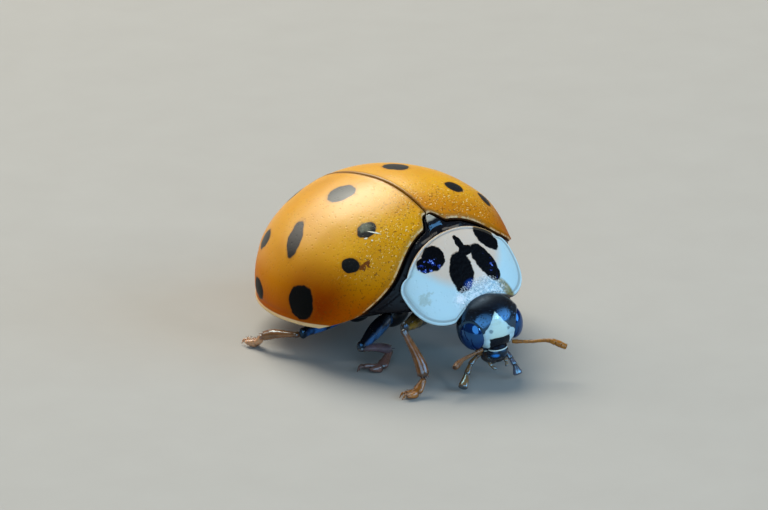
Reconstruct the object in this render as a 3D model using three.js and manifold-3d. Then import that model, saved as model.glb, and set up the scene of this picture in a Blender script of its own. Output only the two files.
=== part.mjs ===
// A harlequin ladybird (Harmonia axyridis, the orange spotted form), life size, standing on six feet.
// Millimetres, +Z up. The animal faces -Y, its left side is +X, and the floor is z = 0.
// The origin is on the floor under the middle of the animal.

import * as THREE from "three";
import { mergeVertices } from "three/addons/utils/BufferGeometryUtils.js";
import Module from "manifold-3d";

const wasm = await Module();
wasm.setup();

// ---------------------------------------------------------------- driving dimensions

const GAP = 0.03; // air between two neighbouring pieces
const SHELL = 0.5; // wall of a wing case and of the neck shield

// the wing cases, measured from their widest place in the plane of their rim
const HALF_WIDTH = 2.9;
const REAR_LENGTH = 3.35; // back to the tip
const FRONT_REACH = 2.97; // where the outline would close in front, if it weren't cut off
const DOME_HEIGHT = 2.56;
const DOME_FRONT_REACH = 2.8; // the ridge's own reach in front
const BASE_EDGE = -2.06; // their front edge at the seam
const BASE_NOTCH = 0.22; // the notch there, which takes the scutellum
const NOTCH_SHARES = [0.02, 0.11]; // of the way from the seam to the rim
const BASE_CORNER = 0.56; // how far the rounded corner at the rim falls back
const CORNER_SHARE = 0.88; // where it starts

// the trunk under them
const COLLAR_FRONT = -2.5; // how far ahead the collar in front of the wing cases runs
const COLLAR_TURN = 80; // degrees that it reaches down on each side
const COLLAR_DEPTHS = [0.08, 0.7]; // below the dome
const SCUTELLUM_FRONT = -2.34; // the small triangular plate between the wing cases' roots
const SCUTELLUM_TURN = 9;
const SCUTELLUM_DEPTHS = [0.02, 0.42];
const WAIST = 0.3; // where the thorax ends and the abdomen starts
const BELLY_DEPTH = 0.32; // the underside's bulge below the rim
const CHEST_SPAN = [0.8, 2.4]; // where the thorax draws in towards the neck
const CHEST_NARROWER = 0.36; // by these shares of its width and its depth below the rim
const CHEST_SHALLOWER = 0.9;
const SEGMENTS = 5; // plates of the abdomen's underside
const PLATE_STEP = 0.06; // how much deeper each plate ends than the next one starts
const CHEST_RADII = [0.95, 0.8, 0.62]; // the prothorax, under the neck shield
const CHEST_PLACE = [0, -2.5, 0.35];
const CHEST_TURN = [25, 0, 0];

// how the body is carried
const RIM_HEIGHT = 1.4;
const BODY_PLACE = [0.15, 0.75, RIM_HEIGHT]; // the middle of the widest place
const BODY_PITCH = -5.8; // degrees, below zero nose up
const BODY_ROLL = 9.1; // degrees, right side down

// the neck shield, from the middle of its rear edge
const NECK_PLACE = [0, -2.37, 1.61];
const NECK_TURN = [42.8, -1.7, -2]; // degrees about X, Y and Z
const SHIELD_SPAN = 1.83; // radius of its arch across
const SHIELD_ARCH = 1.05;
const SHIELD_SWEEP = 61; // degrees of the arch on each side
const SHIELD_LENGTH = 1.91;
const SHIELD_DROP = 0.45; // its front edge bends down by this
const HIND_CORNER = 0.78; // shares of the half width
const FRONT_CORNER = 0.46;
const SIDE_BULGE = 0.83; // how far forward the shield is widest
const FRONT_BAY = 0.19; // depth of the bay that takes the head
const CORNER_FULLNESS = 0.87; // below 1 the front corners are fuller than an ellipse

// the head
const HEAD_PLACE = [-0.08, -3.48, -0.45];
const HEAD_TURN = [8, 4, -9];
const HEAD_RADII = [0.79, 0.58, 0.68];
const EYE_RADII = [0.24, 0.31, 0.38];
const EYE_PLACE = [0.54, -0.19, -0.06];
const EYE_TURN = [-8, 0, -35];
const LABRUM_RADII = [0.27, 0.2, 0.24];
const LABRUM_PLACE = [0, -0.36, -0.56];
const MANDIBLE_RADII = [0.16, 0.2, 0.2];
const MANDIBLE_PLACE = [0.17, -0.2, -0.74];
const LABIUM_RADII = [0.3, 0.25, 0.2];
const LABIUM_PLACE = [0, 0.08, -0.68];

// routes of the feelers and palps in the head's own axes, from their sockets outwards
const FEELERS = {
  antenna_left: [[0.39, -0.37, -0.45], [0.72, -0.64, -0.44], [1.06, -0.92, -0.41], [1.34, -1.22, -0.54]],
  antenna_right: [[-0.4, -0.35, -0.43], [-0.75, -0.45, -0.42], [-1.12, -0.6, -0.4], [-1.44, -0.79, -0.42]],
  palp_left: [[0.27, -0.2, -0.63], [0.33, -0.38, -0.84], [0.36, -0.52, -1.01], [0.37, -0.62, -1.2]],
  palp_right: [[-0.29, -0.12, -0.62], [-0.64, -0.25, -0.72], [-0.88, -0.42, -0.86], [-1.16, -0.65, -1.08]],
};

// limbs: half widths
const COXA = [0.4, 0.3, 0.3];
const FEMUR = 0.27;
const TIBIA = 0.26;
const TARSUS = 0.26;
const FEELER = 0.26;

// Where the knees, ankles and toes stand on the floor's own axes, with the widest place of
// the wing cases as x = 0, y = 0. The hips are places on the body.
const LEGS = {
  front_right: {
    hip: [-0.42, -2.12, -0.24],
    knee: [-1.95, -2.77, 1.4],
    ankle: [-1.92, -3.52, 0.42],
    sole: [-2.19, -3.53, 0.16],
    toe: [-2.46, -3.44, 0.12],
  },
  middle_right: {
    hip: [-0.75, -0.9, -0.42],
    knee: [-2.25, -1.56, 0.62],
    ankle: [-1.3, -1.56, 0.36],
    sole: [-1.8, -1.8, 0.16],
    toe: [-2.16, -1.45, 0.12],
  },
  hind_right: {
    hip: [-0.95, 0.15, -0.42],
    knee: [-2.7, 0.05, 0.6],
    ankle: [-3.0, 1.05, 0.34],
    sole: [-3.02, 1.27, 0.16],
    toe: [-3.08, 1.56, 0.12],
  },
  front_left: {
    hip: [0.42, -2.12, -0.24],
    knee: [1.6, -2.4, 1.35],
    ankle: [1.5, -2.15, 0.42],
    sole: [1.62, -2.1, 0.16],
    toe: [1.85, -1.9, 0.12],
  },
  middle_left: {
    hip: [0.75, -0.9, -0.42],
    knee: [2.35, -1.1, 1.15],
    ankle: [2.6, -0.85, 0.4],
    sole: [2.72, -0.75, 0.16],
    toe: [2.95, -0.5, 0.12],
  },
  hind_left: {
    hip: [0.95, 0.15, -0.42],
    knee: [2.3, 0.95, 1.1],
    ankle: [2.55, 1.85, 0.4],
    sole: [2.62, 2.0, 0.16],
    toe: [2.8, 2.3, 0.12],
  },
};

const SIMPLER = 0.01; // corners that stand out less than this are dropped
const DEG = Math.PI / 180;

// ---------------------------------------------------------------- helpers for solids

const smooth = (from, to, x) => THREE.MathUtils.smoothstep(x, from, to);
const mix = THREE.MathUtils.lerp;
const vec = (x, y, z) => new THREE.Vector3(x, y, z);
const turned = (degrees) => new THREE.Euler(...degrees.map((d) => d * DEG));

// A geometry with every vertex moved by a function, and its shared vertices merged.
function shaped(geometry, move) {
  const bare = new THREE.BufferGeometry();
  bare.setIndex(geometry.index);
  bare.setAttribute("position", geometry.getAttribute("position").clone());
  const at = bare.getAttribute("position");
  const p = new THREE.Vector3();
  for (let i = 0; i < at.count; i++) {
    p.fromBufferAttribute(at, i);
    move(p);
    at.setXYZ(i, p.x, p.y, p.z);
  }
  return mergeVertices(bare, 1e-5);
}

// A geometry in a group's own axes becomes a solid in the floor's axes, where the cuts are made.
function solidOf(geometry, home = ladybird) {
  const merged = shaped(geometry, (p) => p.applyMatrix4(home.matrixWorld));
  return new wasm.Manifold(
    new wasm.Mesh({
      numProp: 3,
      vertProperties: merged.getAttribute("position").array,
      triVerts: new Uint32Array(merged.index.array),
    }),
  );
}

function geometryOf(solid) {
  const mesh = solid.getMesh();
  const geometry = new THREE.BufferGeometry();
  const at = new Float32Array(mesh.numVert * 3);
  for (let i = 0; i < mesh.numVert; i++) {
    at.set(mesh.vertProperties.subarray(i * mesh.numProp, i * mesh.numProp + 3), i * 3);
  }
  geometry.setAttribute("position", new THREE.BufferAttribute(at, 3));
  geometry.setIndex(new THREE.BufferAttribute(mesh.triVerts, 1));
  return geometry;
}

// The same solid, larger by the gap on every side, to cut the room that it stands in.
function grown(solid) {
  const geometry = geometryOf(solid);
  geometry.computeBoundingBox();
  const size = geometry.boundingBox.getSize(new THREE.Vector3());
  const middle = geometry.boundingBox.getCenter(new THREE.Vector3());
  const scale = size.clone().addScalar(2 * GAP).divide(size);
  return solidOf(shaped(geometry, (p) => p.sub(middle).multiply(scale).add(middle)));
}

const cut = (solid, ...others) => others.reduce((left, other) => left.subtract(other), solid);

// An ellipsoid with its middle at a point, turned by an Euler angle in degrees.
function ellipsoid(radii, middle, turn = [0, 0, 0], across = 8, along = 6) {
  const geometry = new THREE.SphereGeometry(1, across, along);
  const spin = new THREE.Quaternion().setFromEuler(turned(turn));
  geometry.applyMatrix4(new THREE.Matrix4().compose(vec(...middle), spin, vec(...radii)));
  return geometry;
}

// A closed limb along a smooth path. wide(t) and deep(t) are half sizes across it, and both
// run out to a round end at each end of the path.
function limb(points, wide, deep = wide, across = 8, along = 8) {
  const path = new THREE.CatmullRomCurve3(points, false, "centripetal");
  const length = path.getLength();
  return shaped(new THREE.SphereGeometry(1, across, along), (p) => {
    const t = THREE.MathUtils.clamp(Math.acos(THREE.MathUtils.clamp(p.y, -1, 1)) / Math.PI, 0, 1);
    const ring = Math.hypot(p.x, p.z);
    const near = (Math.min(t, 1 - t) * length) / wide(t);
    const ease = near < 1 ? Math.sqrt(1 - (1 - near) ** 2) : 1;
    const ahead = path.getTangentAt(t);
    const side = new THREE.Vector3().crossVectors(ahead, vec(0, 0, 1)).normalize();
    const up = new THREE.Vector3().crossVectors(side, ahead);
    const on = path.getPointAt(t);
    if (ring > 1e-6) {
      on.addScaledVector(side, (-p.x / ring) * wide(t) * ease);
      on.addScaledVector(up, (p.z / ring) * deep(t) * ease);
    }
    p.copy(on);
  });
}

const finish = (colour, roughness) =>
  new THREE.MeshStandardMaterial({ color: colour, roughness, metalness: 0 });

const COLOURS = {
  orange: finish(0xd98a14, 0.3),
  white: finish(0xe9e6dc, 0.3),
  black: finish(0x14110f, 0.25),
  brown: finish(0x8a5218, 0.4),
  eye: finish(0x0c1020, 0.15),
};

// A named piece: the largest body of a solid that stands in the floor's axes. It goes into its
// group's own axes.
function part(name, solid, material, home) {
  const bodies = solid.decompose().sort((a, b) => b.volume() - a.volume());
  const geometry = geometryOf(bodies[0].simplify(SIMPLER));
  geometry.applyMatrix4(home.matrixWorld.clone().invert());
  geometry.computeVertexNormals();
  const mesh = new THREE.Mesh(geometry, material);
  mesh.name = name;
  home.add(mesh);
}

// ---------------------------------------------------------------- the groups that carry the pieces

function group(place, turn, home) {
  const made = new THREE.Group();
  made.position.set(...place);
  made.rotation.copy(turned(turn));
  home.add(made);
  return made;
}

const ladybird = new THREE.Group();
const body = group(BODY_PLACE, [BODY_PITCH, -BODY_ROLL, 0], ladybird);
const neck = group(NECK_PLACE, NECK_TURN, body);
const head = group(HEAD_PLACE, HEAD_TURN, body);
const stance = group([BODY_PLACE[0], BODY_PLACE[1], 0], [0, 0, 0], ladybird);
ladybird.updateMatrixWorld(true);

// ---------------------------------------------------------------- the wing cases' dome

const superpower = (share, power) =>
  Math.pow(Math.max(0, 1 - Math.pow(Math.abs(share), power)), 1 / power);

// Half width and height of the dome at a place y, taken in by a depth on every side.
function domeWidth(y, depth) {
  const share = y > 0 ? y / (REAR_LENGTH - depth) : y / FRONT_REACH;
  return (HALF_WIDTH - depth) * superpower(share, y > 0 ? 2.2 : 2);
}

function domeHeight(y, depth) {
  const share = y > 0 ? y / (REAR_LENGTH - depth) : y / DOME_FRONT_REACH;
  return (DOME_HEIGHT - depth) * superpower(share, y > 0 ? 2.2 : 2.1);
}

function domePoint(turn, y, depth) {
  return vec(domeWidth(y, depth) * Math.sin(turn), y, domeHeight(y, depth) * Math.cos(turn));
}

// The front edge of a wing case, for a turn from the seam (0) to the rim (90 degrees).
// Its lower corner is rounded off.
function baseEdge(turn) {
  const share = Math.abs(turn) / (90 * DEG);
  const notch = BASE_NOTCH * (1 - smooth(...NOTCH_SHARES, share));
  const corner = BASE_CORNER * Math.max(0, (share - CORNER_SHARE) / (1 - CORNER_SHARE)) ** 2.6;
  return BASE_EDGE + notch - 1.05 * share ** 2 + 1.8 * share ** 4 + corner;
}

// A slab of the dome between two turns in degrees, two depths and a rear and a front edge.
function slab(turns, depths, rear, front, cells) {
  return shaped(new THREE.BoxGeometry(1, 1, 1, ...cells), (p) => {
    const turn = mix(turns[0], turns[1], p.x + 0.5) * DEG;
    const depth = mix(depths[1], depths[0], p.z + 0.5);
    const along = Math.sin((p.y + 0.5) * 88 * DEG);
    const y = mix(front(turn), rear(turn, depth), along);
    p.copy(domePoint(turn, y, depth));
  });
}

const tip = (turn, depth) => REAR_LENGTH - depth;
const leftCase = slab([0, 90], [0, SHELL], tip, baseEdge, [12, 12, 1]);
leftCase.translate(GAP / 2, 0, 0);
const rightCase = slab([-90, 0], [0, SHELL], tip, baseEdge, [12, 12, 1]);
rightCase.translate(-GAP / 2, 0, 0);
part("elytron_left", solidOf(leftCase, body), COLOURS.orange, body);
part("elytron_right", solidOf(rightCase, body), COLOURS.orange, body);

// ---------------------------------------------------------------- the neck shield

const shieldRear = (u) => 0.75 * u ** 2 + 0.19 * u ** 4;

// The shield's outline as a share across and a length forward, by a turn round it in degrees.
function shieldOutline(turn) {
  const a = Math.abs(turn);
  const sign = Math.sign(turn) || 1;
  if (a < 40) {
    const u = (a / 40) * HIND_CORNER;
    return [sign * u, shieldRear(u)];
  }
  if (a < 75) {
    const q = ((a - 40) / 35) * 90 * DEG;
    const u = HIND_CORNER + (1 - HIND_CORNER) * Math.sin(q);
    const back = shieldRear(HIND_CORNER);
    return [sign * u, back + (SIDE_BULGE - back) * (1 - Math.cos(q))];
  }
  if (a < 140) {
    const q = ((a - 75) / 65) * 90 * DEG;
    const u = FRONT_CORNER + (1 - FRONT_CORNER) * Math.cos(q) ** CORNER_FULLNESS;
    return [sign * u, SIDE_BULGE + (SHIELD_LENGTH - SIDE_BULGE) * Math.sin(q) ** CORNER_FULLNESS];
  }
  const u = ((180 - a) / 40) * FRONT_CORNER;
  const bay = FRONT_BAY * (1 - (u / FRONT_CORNER) ** 2);
  return [sign * u, SHIELD_LENGTH - bay];
}

// A point of the shield, for a share across, a length forward and a depth below its face.
function shieldPoint(u, forward, depth) {
  const turn = u * SHIELD_SWEEP * DEG;
  const x = (SHIELD_SPAN - depth) * Math.sin(turn);
  const arch = -SHIELD_ARCH + (SHIELD_ARCH - depth) * Math.cos(turn);
  return vec(x, -forward, arch - SHIELD_DROP * (forward / SHIELD_LENGTH) ** 2);
}

// The shield's solid: a disc moved onto its outline. grow makes it larger all round and below,
// and lift raises its upper face.
function shield(grow, lift) {
  return shaped(new THREE.SphereGeometry(1, 32, 8), (p) => {
    const r = Math.min(1, Math.hypot(p.x, p.z));
    const [u, forward] = shieldOutline(Math.atan2(-p.x, p.z) / DEG);
    const share = r ** 1.5 * (1 + grow);
    const depth = p.y > 0 ? -lift : SHELL * (1 - r ** 8) + grow;
    p.copy(shieldPoint(u * share, mix(0.9, forward, share), depth));
  });
}

part("pronotum", solidOf(shield(0, 0), neck), COLOURS.white, neck);
const shieldRoom = solidOf(shield(GAP, 1), neck);

// ---------------------------------------------------------------- the head and its pieces

const fullHead = solidOf(ellipsoid(HEAD_RADII, [0, 0, 0], [0, 0, 0], 14, 10), head);
const headRoom = grown(fullHead);
const taken = [headRoom, shieldRoom]; // the room of all pieces made so far at this end

// A small piece of the head, cut clear of all that is there already.
function headPiece(name, geometry, material) {
  const whole = solidOf(geometry, head);
  part(name, cut(whole, ...taken), material, head);
  taken.push(grown(whole));
}

const SIDES = [["left", 1], ["right", -1]];
const mirrored = ([x, y, z], sign) => [x * sign, y, z];

const eyeRoom = [];
for (const [side, sign] of SIDES) {
  const turn = [EYE_TURN[0], 0, EYE_TURN[2] * sign];
  const eye = solidOf(ellipsoid(EYE_RADII, mirrored(EYE_PLACE, sign), turn, 12, 9), head);
  part(`eye_${side}`, eye, COLOURS.eye, head);
  eyeRoom.push(grown(eye));
}
part("head", cut(fullHead, ...eyeRoom), COLOURS.black, head);
taken.push(...eyeRoom);

headPiece("labrum", ellipsoid(LABRUM_RADII, LABRUM_PLACE), COLOURS.black);
for (const [side, sign] of SIDES) {
  const mandible = ellipsoid(MANDIBLE_RADII, mirrored(MANDIBLE_PLACE, sign));
  headPiece(`mandible_${side}`, mandible, COLOURS.brown);
}
headPiece("labium", ellipsoid(LABIUM_RADII, LABIUM_PLACE), COLOURS.black);

const points = (list) => list.map((p) => vec(...p));
const clubbed = (t) => FEELER * (0.9 + 0.1 * smooth(0.5, 0.9, t));
for (const [name, route] of Object.entries(FEELERS)) {
  headPiece(name, limb(points(route), clubbed), COLOURS.brown);
}

// ---------------------------------------------------------------- the trunk below the plates

const TRUNK_DEPTH = SHELL + GAP;

// The abdomen's plates overlap towards the tip: each starts a little deeper than it ends.
function bellyDepth(y) {
  const fall = superpower(y > 0 ? y / REAR_LENGTH : y / FRONT_REACH, 2.4);
  const plate = ((y - WAIST) / (REAR_LENGTH - WAIST)) * SEGMENTS;
  const step = y > WAIST ? PLATE_STEP * (plate - Math.floor(plate + 0.01)) : 0;
  return (BELLY_DEPTH - step) * fall;
}

// The trunk between two places, closed by a flat wall at each: dome above, belly below. It draws
// in towards the neck.
function trunk(from, to, rows) {
  return shaped(new THREE.CylinderGeometry(1, 1, 1, 16, rows, false), (p) => {
    const y = mix(from, to, p.y + 0.5);
    const ring = Math.hypot(p.x, p.z);
    const turn = Math.atan2(p.x, p.z);
    const near = smooth(...CHEST_SPAN, -y);
    const wide = domeWidth(y, TRUNK_DEPTH) * (1 - CHEST_NARROWER * near);
    const low = bellyDepth(y) * (1 - CHEST_SHALLOWER * near);
    const high = Math.cos(turn) > 0 ? domeHeight(y, TRUNK_DEPTH) : low;
    p.set(ring * wide * Math.sin(turn), y, ring * high * Math.cos(turn));
  });
}

// ---------------------------------------------------------------- the legs

const floorRoom = solidOf(new THREE.BoxGeometry(20, 20, 4).translate(0, 0, -2));
const spindle = (t) => FEMUR * (0.88 + 0.12 * Math.sin(t * Math.PI));
const shin = (t) => TIBIA * (0.94 + 0.06 * t);
const foot = (t) => TARSUS * (0.92 + 0.08 * Math.sin(t * Math.PI));

// A leg's four pieces, from the hip out. Each is cut clear of the one before it.
function makeLeg(name, place) {
  const outward = Math.sign(place.hip[0]);
  const hip = body.localToWorld(vec(...place.hip));
  const [knee, ankle, sole, toe] = ["knee", "ankle", "sole", "toe"].map((joint) =>
    stance.localToWorld(vec(...place[joint])),
  );
  const coxa = solidOf(ellipsoid(COXA, place.hip, [0, 20 * outward, 0]), body);
  const femur = solidOf(limb([hip, hip.clone().lerp(knee, 0.5), knee], spindle));
  const tibia = solidOf(limb([knee, knee.clone().lerp(ankle, 0.5), ankle], shin));
  const tarsus = solidOf(limb([ankle, sole, toe], foot));
  part(`coxa_${name}`, coxa, COLOURS.black, body);
  part(`femur_${name}`, cut(femur, grown(coxa)), COLOURS.black, stance);
  part(`tibia_${name}`, cut(tibia, grown(femur)), COLOURS.brown, stance);
  part(`tarsus_${name}`, cut(tarsus, grown(tibia), floorRoom), COLOURS.brown, stance);
  return [grown(coxa), grown(femur)];
}

const legRoom = Object.entries(LEGS).flatMap(([name, place]) => makeLeg(name, place));

// ---------------------------------------------------------------- the trunk's pieces

const underNotch = (turn) => baseEdge(turn) - GAP;
const bothWays = (turn) => [-turn, turn];
const plate = slab(bothWays(SCUTELLUM_TURN), SCUTELLUM_DEPTHS, underNotch, () => SCUTELLUM_FRONT, [4, 3, 1]);
const scutellum = cut(solidOf(plate, body), shieldRoom);
part("scutellum", scutellum, COLOURS.black, body);

const chest = solidOf(ellipsoid(CHEST_RADII, CHEST_PLACE, CHEST_TURN, 12, 8), body);
part("prothorax", cut(chest, shieldRoom, ...taken, ...legRoom), COLOURS.black, body);

const collar = slab(bothWays(COLLAR_TURN), COLLAR_DEPTHS, underNotch, () => COLLAR_FRONT, [14, 1, 1]);
const core = solidOf(trunk(COLLAR_FRONT + 0.05, WAIST - GAP, 5), body);
const thorax = core.add(solidOf(collar, body));
const thoraxRoom = [shieldRoom, grown(chest), grown(scutellum), ...legRoom];
part("thorax", cut(thorax, ...thoraxRoom), COLOURS.black, body);

const abdomenEnd = REAR_LENGTH - TRUNK_DEPTH - GAP;
const abdomen = solidOf(trunk(WAIST, abdomenEnd, 2 * SEGMENTS), body);
part("abdomen", cut(abdomen, ...legRoom), COLOURS.brown, body);

export default ladybird;
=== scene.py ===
# A harlequin ladybird, life size, standing still on six feet on a pale floor.
# Each shape is worked out in millimetres in the axes of what carries it, and is then set down in
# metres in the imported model's frame: the animal faces -Y, its left side is +X, and +Z is up.

import random
from math import acos, asin, atan2, cos, degrees, exp, hypot, pi, radians, sin, sqrt, tau

import bmesh
import bpy
from mathutils import Matrix, Vector
from mathutils.geometry import interpolate_bezier


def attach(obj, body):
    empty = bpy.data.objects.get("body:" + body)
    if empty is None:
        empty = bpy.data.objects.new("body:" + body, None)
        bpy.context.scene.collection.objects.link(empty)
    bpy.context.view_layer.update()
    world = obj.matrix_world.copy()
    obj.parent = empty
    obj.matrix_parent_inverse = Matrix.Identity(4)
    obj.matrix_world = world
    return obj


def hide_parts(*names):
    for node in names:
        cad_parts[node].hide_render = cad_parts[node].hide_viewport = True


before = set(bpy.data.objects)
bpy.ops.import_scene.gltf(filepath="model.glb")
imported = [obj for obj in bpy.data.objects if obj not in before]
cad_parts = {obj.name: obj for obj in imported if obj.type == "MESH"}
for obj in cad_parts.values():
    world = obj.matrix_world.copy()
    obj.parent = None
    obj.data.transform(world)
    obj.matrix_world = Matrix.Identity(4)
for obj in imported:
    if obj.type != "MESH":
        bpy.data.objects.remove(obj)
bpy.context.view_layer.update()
scene = bpy.context.scene

# ------------------------ the view and the light
# A long lens looks down a little, from ahead and from the animal's right. A wide soft light hangs
# above and behind the animal, with a weak one below it. Two bluish lights stand ahead, one on each
# side, and a small one between them.

MM = 0.001
LOOK_AT = Vector((0.15, -0.15, 2))
VIEW = (-39.6, 20.6)
REACH = 150
FRAME_WIDE = 17.82  # what the frame takes in at that reach
AIM_RIGHT = -0.7355
AIM_UP = 0.186
SENSOR = 36
NEAREST_SEEN = 5
ROOM_COLOUR = (0.8, 0.84, 0.9, 1)
ROOM_STRENGTH = 0.12


def toward(azimuth, elevation):
    """A direction from the animal, in degrees: azimuth 0 is ahead of it, 90 its left side."""
    a, e = radians(azimuth), radians(elevation)
    return Vector((sin(a) * cos(e), -cos(a) * cos(e), sin(e)))


def facing(thing, azimuth, elevation, distance, about):
    """Stands a camera or a lamp in a direction, looking back at a place."""
    back = toward(azimuth, elevation)
    thing.location = (about + back * distance) * MM
    thing.rotation_euler = back.to_track_quat("Z", "Y").to_euler()
    scene.collection.objects.link(thing)


def softbox(name, azimuth, elevation, distance, across, power, colour):
    """A round lamp with an even face. Lengths are in mm, and power is in watts."""
    light = bpy.data.lights.new(name, "AREA")
    light.shape = "DISK"
    light.size = across * MM
    light.energy = power
    light.color = colour
    lamp = bpy.data.objects.new(name, light)
    lamp.visible_camera = False
    facing(lamp, azimuth, elevation, distance, LOOK_AT)


view_back = toward(*VIEW)
view_right = Vector((cos(radians(VIEW[0])), sin(radians(VIEW[0])), 0))
view_up = view_back.cross(view_right)
lens = bpy.data.cameras.new("lens")
lens.sensor_width = SENSOR
lens.lens = SENSOR * REACH / FRAME_WIDE
lens.clip_start = NEAREST_SEEN * MM
camera = bpy.data.objects.new("camera", lens)
facing(camera, *VIEW, REACH, LOOK_AT + view_right * AIM_RIGHT + view_up * AIM_UP)
scene.camera = camera

softbox("sky_light", 168, 53, 260, 205, 0.9, (0.98, 0.97, 0.86))
softbox("back_light", 197, 29, 220, 120, 0.1, (1, 0.92, 0.8))
softbox("blue_light", 38, 24, 200, 150, 0.26, (0.34, 0.66, 1))
softbox("lens_light", -32, 24, 200, 190, 0.26, (0.42, 0.72, 1))
softbox("side_light", 12, 26, 200, 30, 0.05, (0.9, 0.95, 1))

world = bpy.data.worlds.new("room")
world.use_nodes = True
room = world.node_tree.nodes["Background"].inputs
room["Color"].default_value = ROOM_COLOUR
room["Strength"].default_value = ROOM_STRENGTH
scene.world = world
scene.view_settings.view_transform = "Standard"

# ------------------------ the floor
# A wide, plain, pale board with a faint grain. It isn't part of the animal.

FLOOR_SIZE = 1200


class Finish:
    """A material that is built up node by node. Fixed numbers go straight onto the shader."""

    def __init__(self, name, **inputs):
        self.material = bpy.data.materials.new(name)
        self.material.use_nodes = True
        self.tree = self.material.node_tree
        self.shader = self.tree.nodes["Principled BSDF"]
        self.normal = None
        self.colour = None
        self.give(**inputs)

    def fill(self, socket, value):
        """Puts another node's output, a number or a colour into a socket, or leaves it for None. Three
        values, (output, low, high), stand for a soft step."""
        if isinstance(value, tuple) and isinstance(value[0], bpy.types.NodeSocket):
            value = self.step(*value)
        if isinstance(value, bpy.types.NodeSocket):
            self.tree.links.new(value, socket)
        elif value is not None:
            socket.default_value = (*value, 1) if socket.type == "RGBA" else value

    def give(self, **inputs):
        for name, value in inputs.items():
            self.fill(self.shader.inputs[name.replace("_", " ")], value)

    def add(self, kind, *values, out=0, **settings):
        """A node with its settings, and with its inputs filled in order."""
        node = self.tree.nodes.new("ShaderNode" + kind)
        for key, value in settings.items():
            setattr(node, key, value)
        for socket, value in zip(node.inputs, values):
            self.fill(socket, value)
        return node.outputs[out]

    def where(self, axes=Matrix.Identity(4)):
        """The place on the piece, in millimetres, in the axes given."""
        place = self.add("TexCoord", out=3)
        turn = axes.to_euler()
        return self.add("Mapping", place, axes.translation * MM, turn, (MM, MM, MM), vector_type="TEXTURE")

    def reach(self, place, middle, radii, spin=(0, 0, 0)):
        """How far a place is from the middle of an oval blot, where 1 is the blot's edge."""
        inside = self.add("Mapping", place, middle, spin, radii, vector_type="TEXTURE")
        return self.add("VectorMath", inside, out=1, operation="LENGTH")

    def nearest(self, distances, melt=None):
        """The least of some distances. Blots flow into each other over the share that may melt."""
        least, *others = distances
        for distance in others:
            least = self.math("SMOOTH_MIN" if melt else "MINIMUM", least, distance, melt)
        return least

    def astray(self, place, scale, roughness, reach):
        """A place moved a little to and fro, which makes the edge of a blot ragged."""
        drift = self.add("TexNoise", place, None, scale, 3, roughness, out=1)
        drift = self.add("VectorMath", drift, (0.5, 0.5, 0.5), operation="SUBTRACT")
        drift = self.add("VectorMath", drift, reach, operation="MULTIPLY")
        return self.add("VectorMath", place, drift, operation="ADD")

    def math(self, operation, *values):
        return self.add("Math", *values, operation=operation)

    def times(self, product, *others):
        for value in others:
            product = self.math("MULTIPLY", product, value)
        return product

    def off(self, value, middle):
        """How far a number is from a middle, on either side."""
        return self.math("ABSOLUTE", self.math("SUBTRACT", value, middle))

    def step(self, value, low, high):
        """0 below low and 1 above high, with a soft step between. low may be the larger one."""
        return self.add("MapRange", value, low, high, 0, 1, interpolation_type="SMOOTHSTEP")

    def mix(self, share, first, second):
        values = [share, None, None, None, None, None, first, second]
        return self.add("Mix", *values, out=2, data_type="RGBA")

    def noise(self, place, scale, detail=3, roughness=0.55):
        return self.add("TexNoise", place, None, scale, detail, roughness)

    def cells(self, place, scale, feature="F1"):
        return self.add("TexVoronoi", place, None, scale, feature=feature)

    def part_of(self, place, axis):
        return self.add("SeparateXYZ", place, out="xyz".index(axis))

    def stored(self, layer):
        """A number that the piece's verts carry."""
        return self.add("Attribute", out=2, attribute_name=layer)

    def carve(self, height, depth, strength=1):
        """Raises the surface by a height of 0 to 1 times a depth in millimetres."""
        node = self.tree.nodes.new("ShaderNodeBump")
        node.inputs["Strength"].default_value = strength
        node.inputs["Distance"].default_value = depth * MM
        self.fill(node.inputs["Height"], height)
        self.fill(node.inputs["Normal"], self.normal)
        self.normal = node.outputs["Normal"]
        self.give(Normal=self.normal)

    def paint(self, colour):
        self.colour = colour
        self.give(Base_Color=colour)

    def coat(self, share, colour, amount=1):
        """Lays a colour over the ones before it, by a share of 0 to 1 times an amount."""
        share = share if amount == 1 else self.times(share, amount)
        self.paint(self.mix(share, self.colour, colour))


board = Finish("pale_board", Roughness=0.75)
grain = board.noise(board.where(), 0.6, 5)
board.paint(board.mix(grain, (0.34, 0.31, 0.28), (0.37, 0.34, 0.31)))

floor_shape = bmesh.new()
bmesh.ops.create_grid(floor_shape, x_segments=1, y_segments=1, size=FLOOR_SIZE / 2 * MM)
floor_mesh = bpy.data.meshes.new("floor")
floor_shape.to_mesh(floor_mesh)
floor_shape.free()
floor_mesh.materials.append(board.material)
floor = bpy.data.objects.new("floor", floor_mesh)
scene.collection.objects.link(floor)

# ------------------------ the wing cases
# Two hard domed shells that meet in a straight seam. Each is thin above and broadens at the rim
# into a flat inner band, and its edges are rounded and a little raised.

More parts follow.
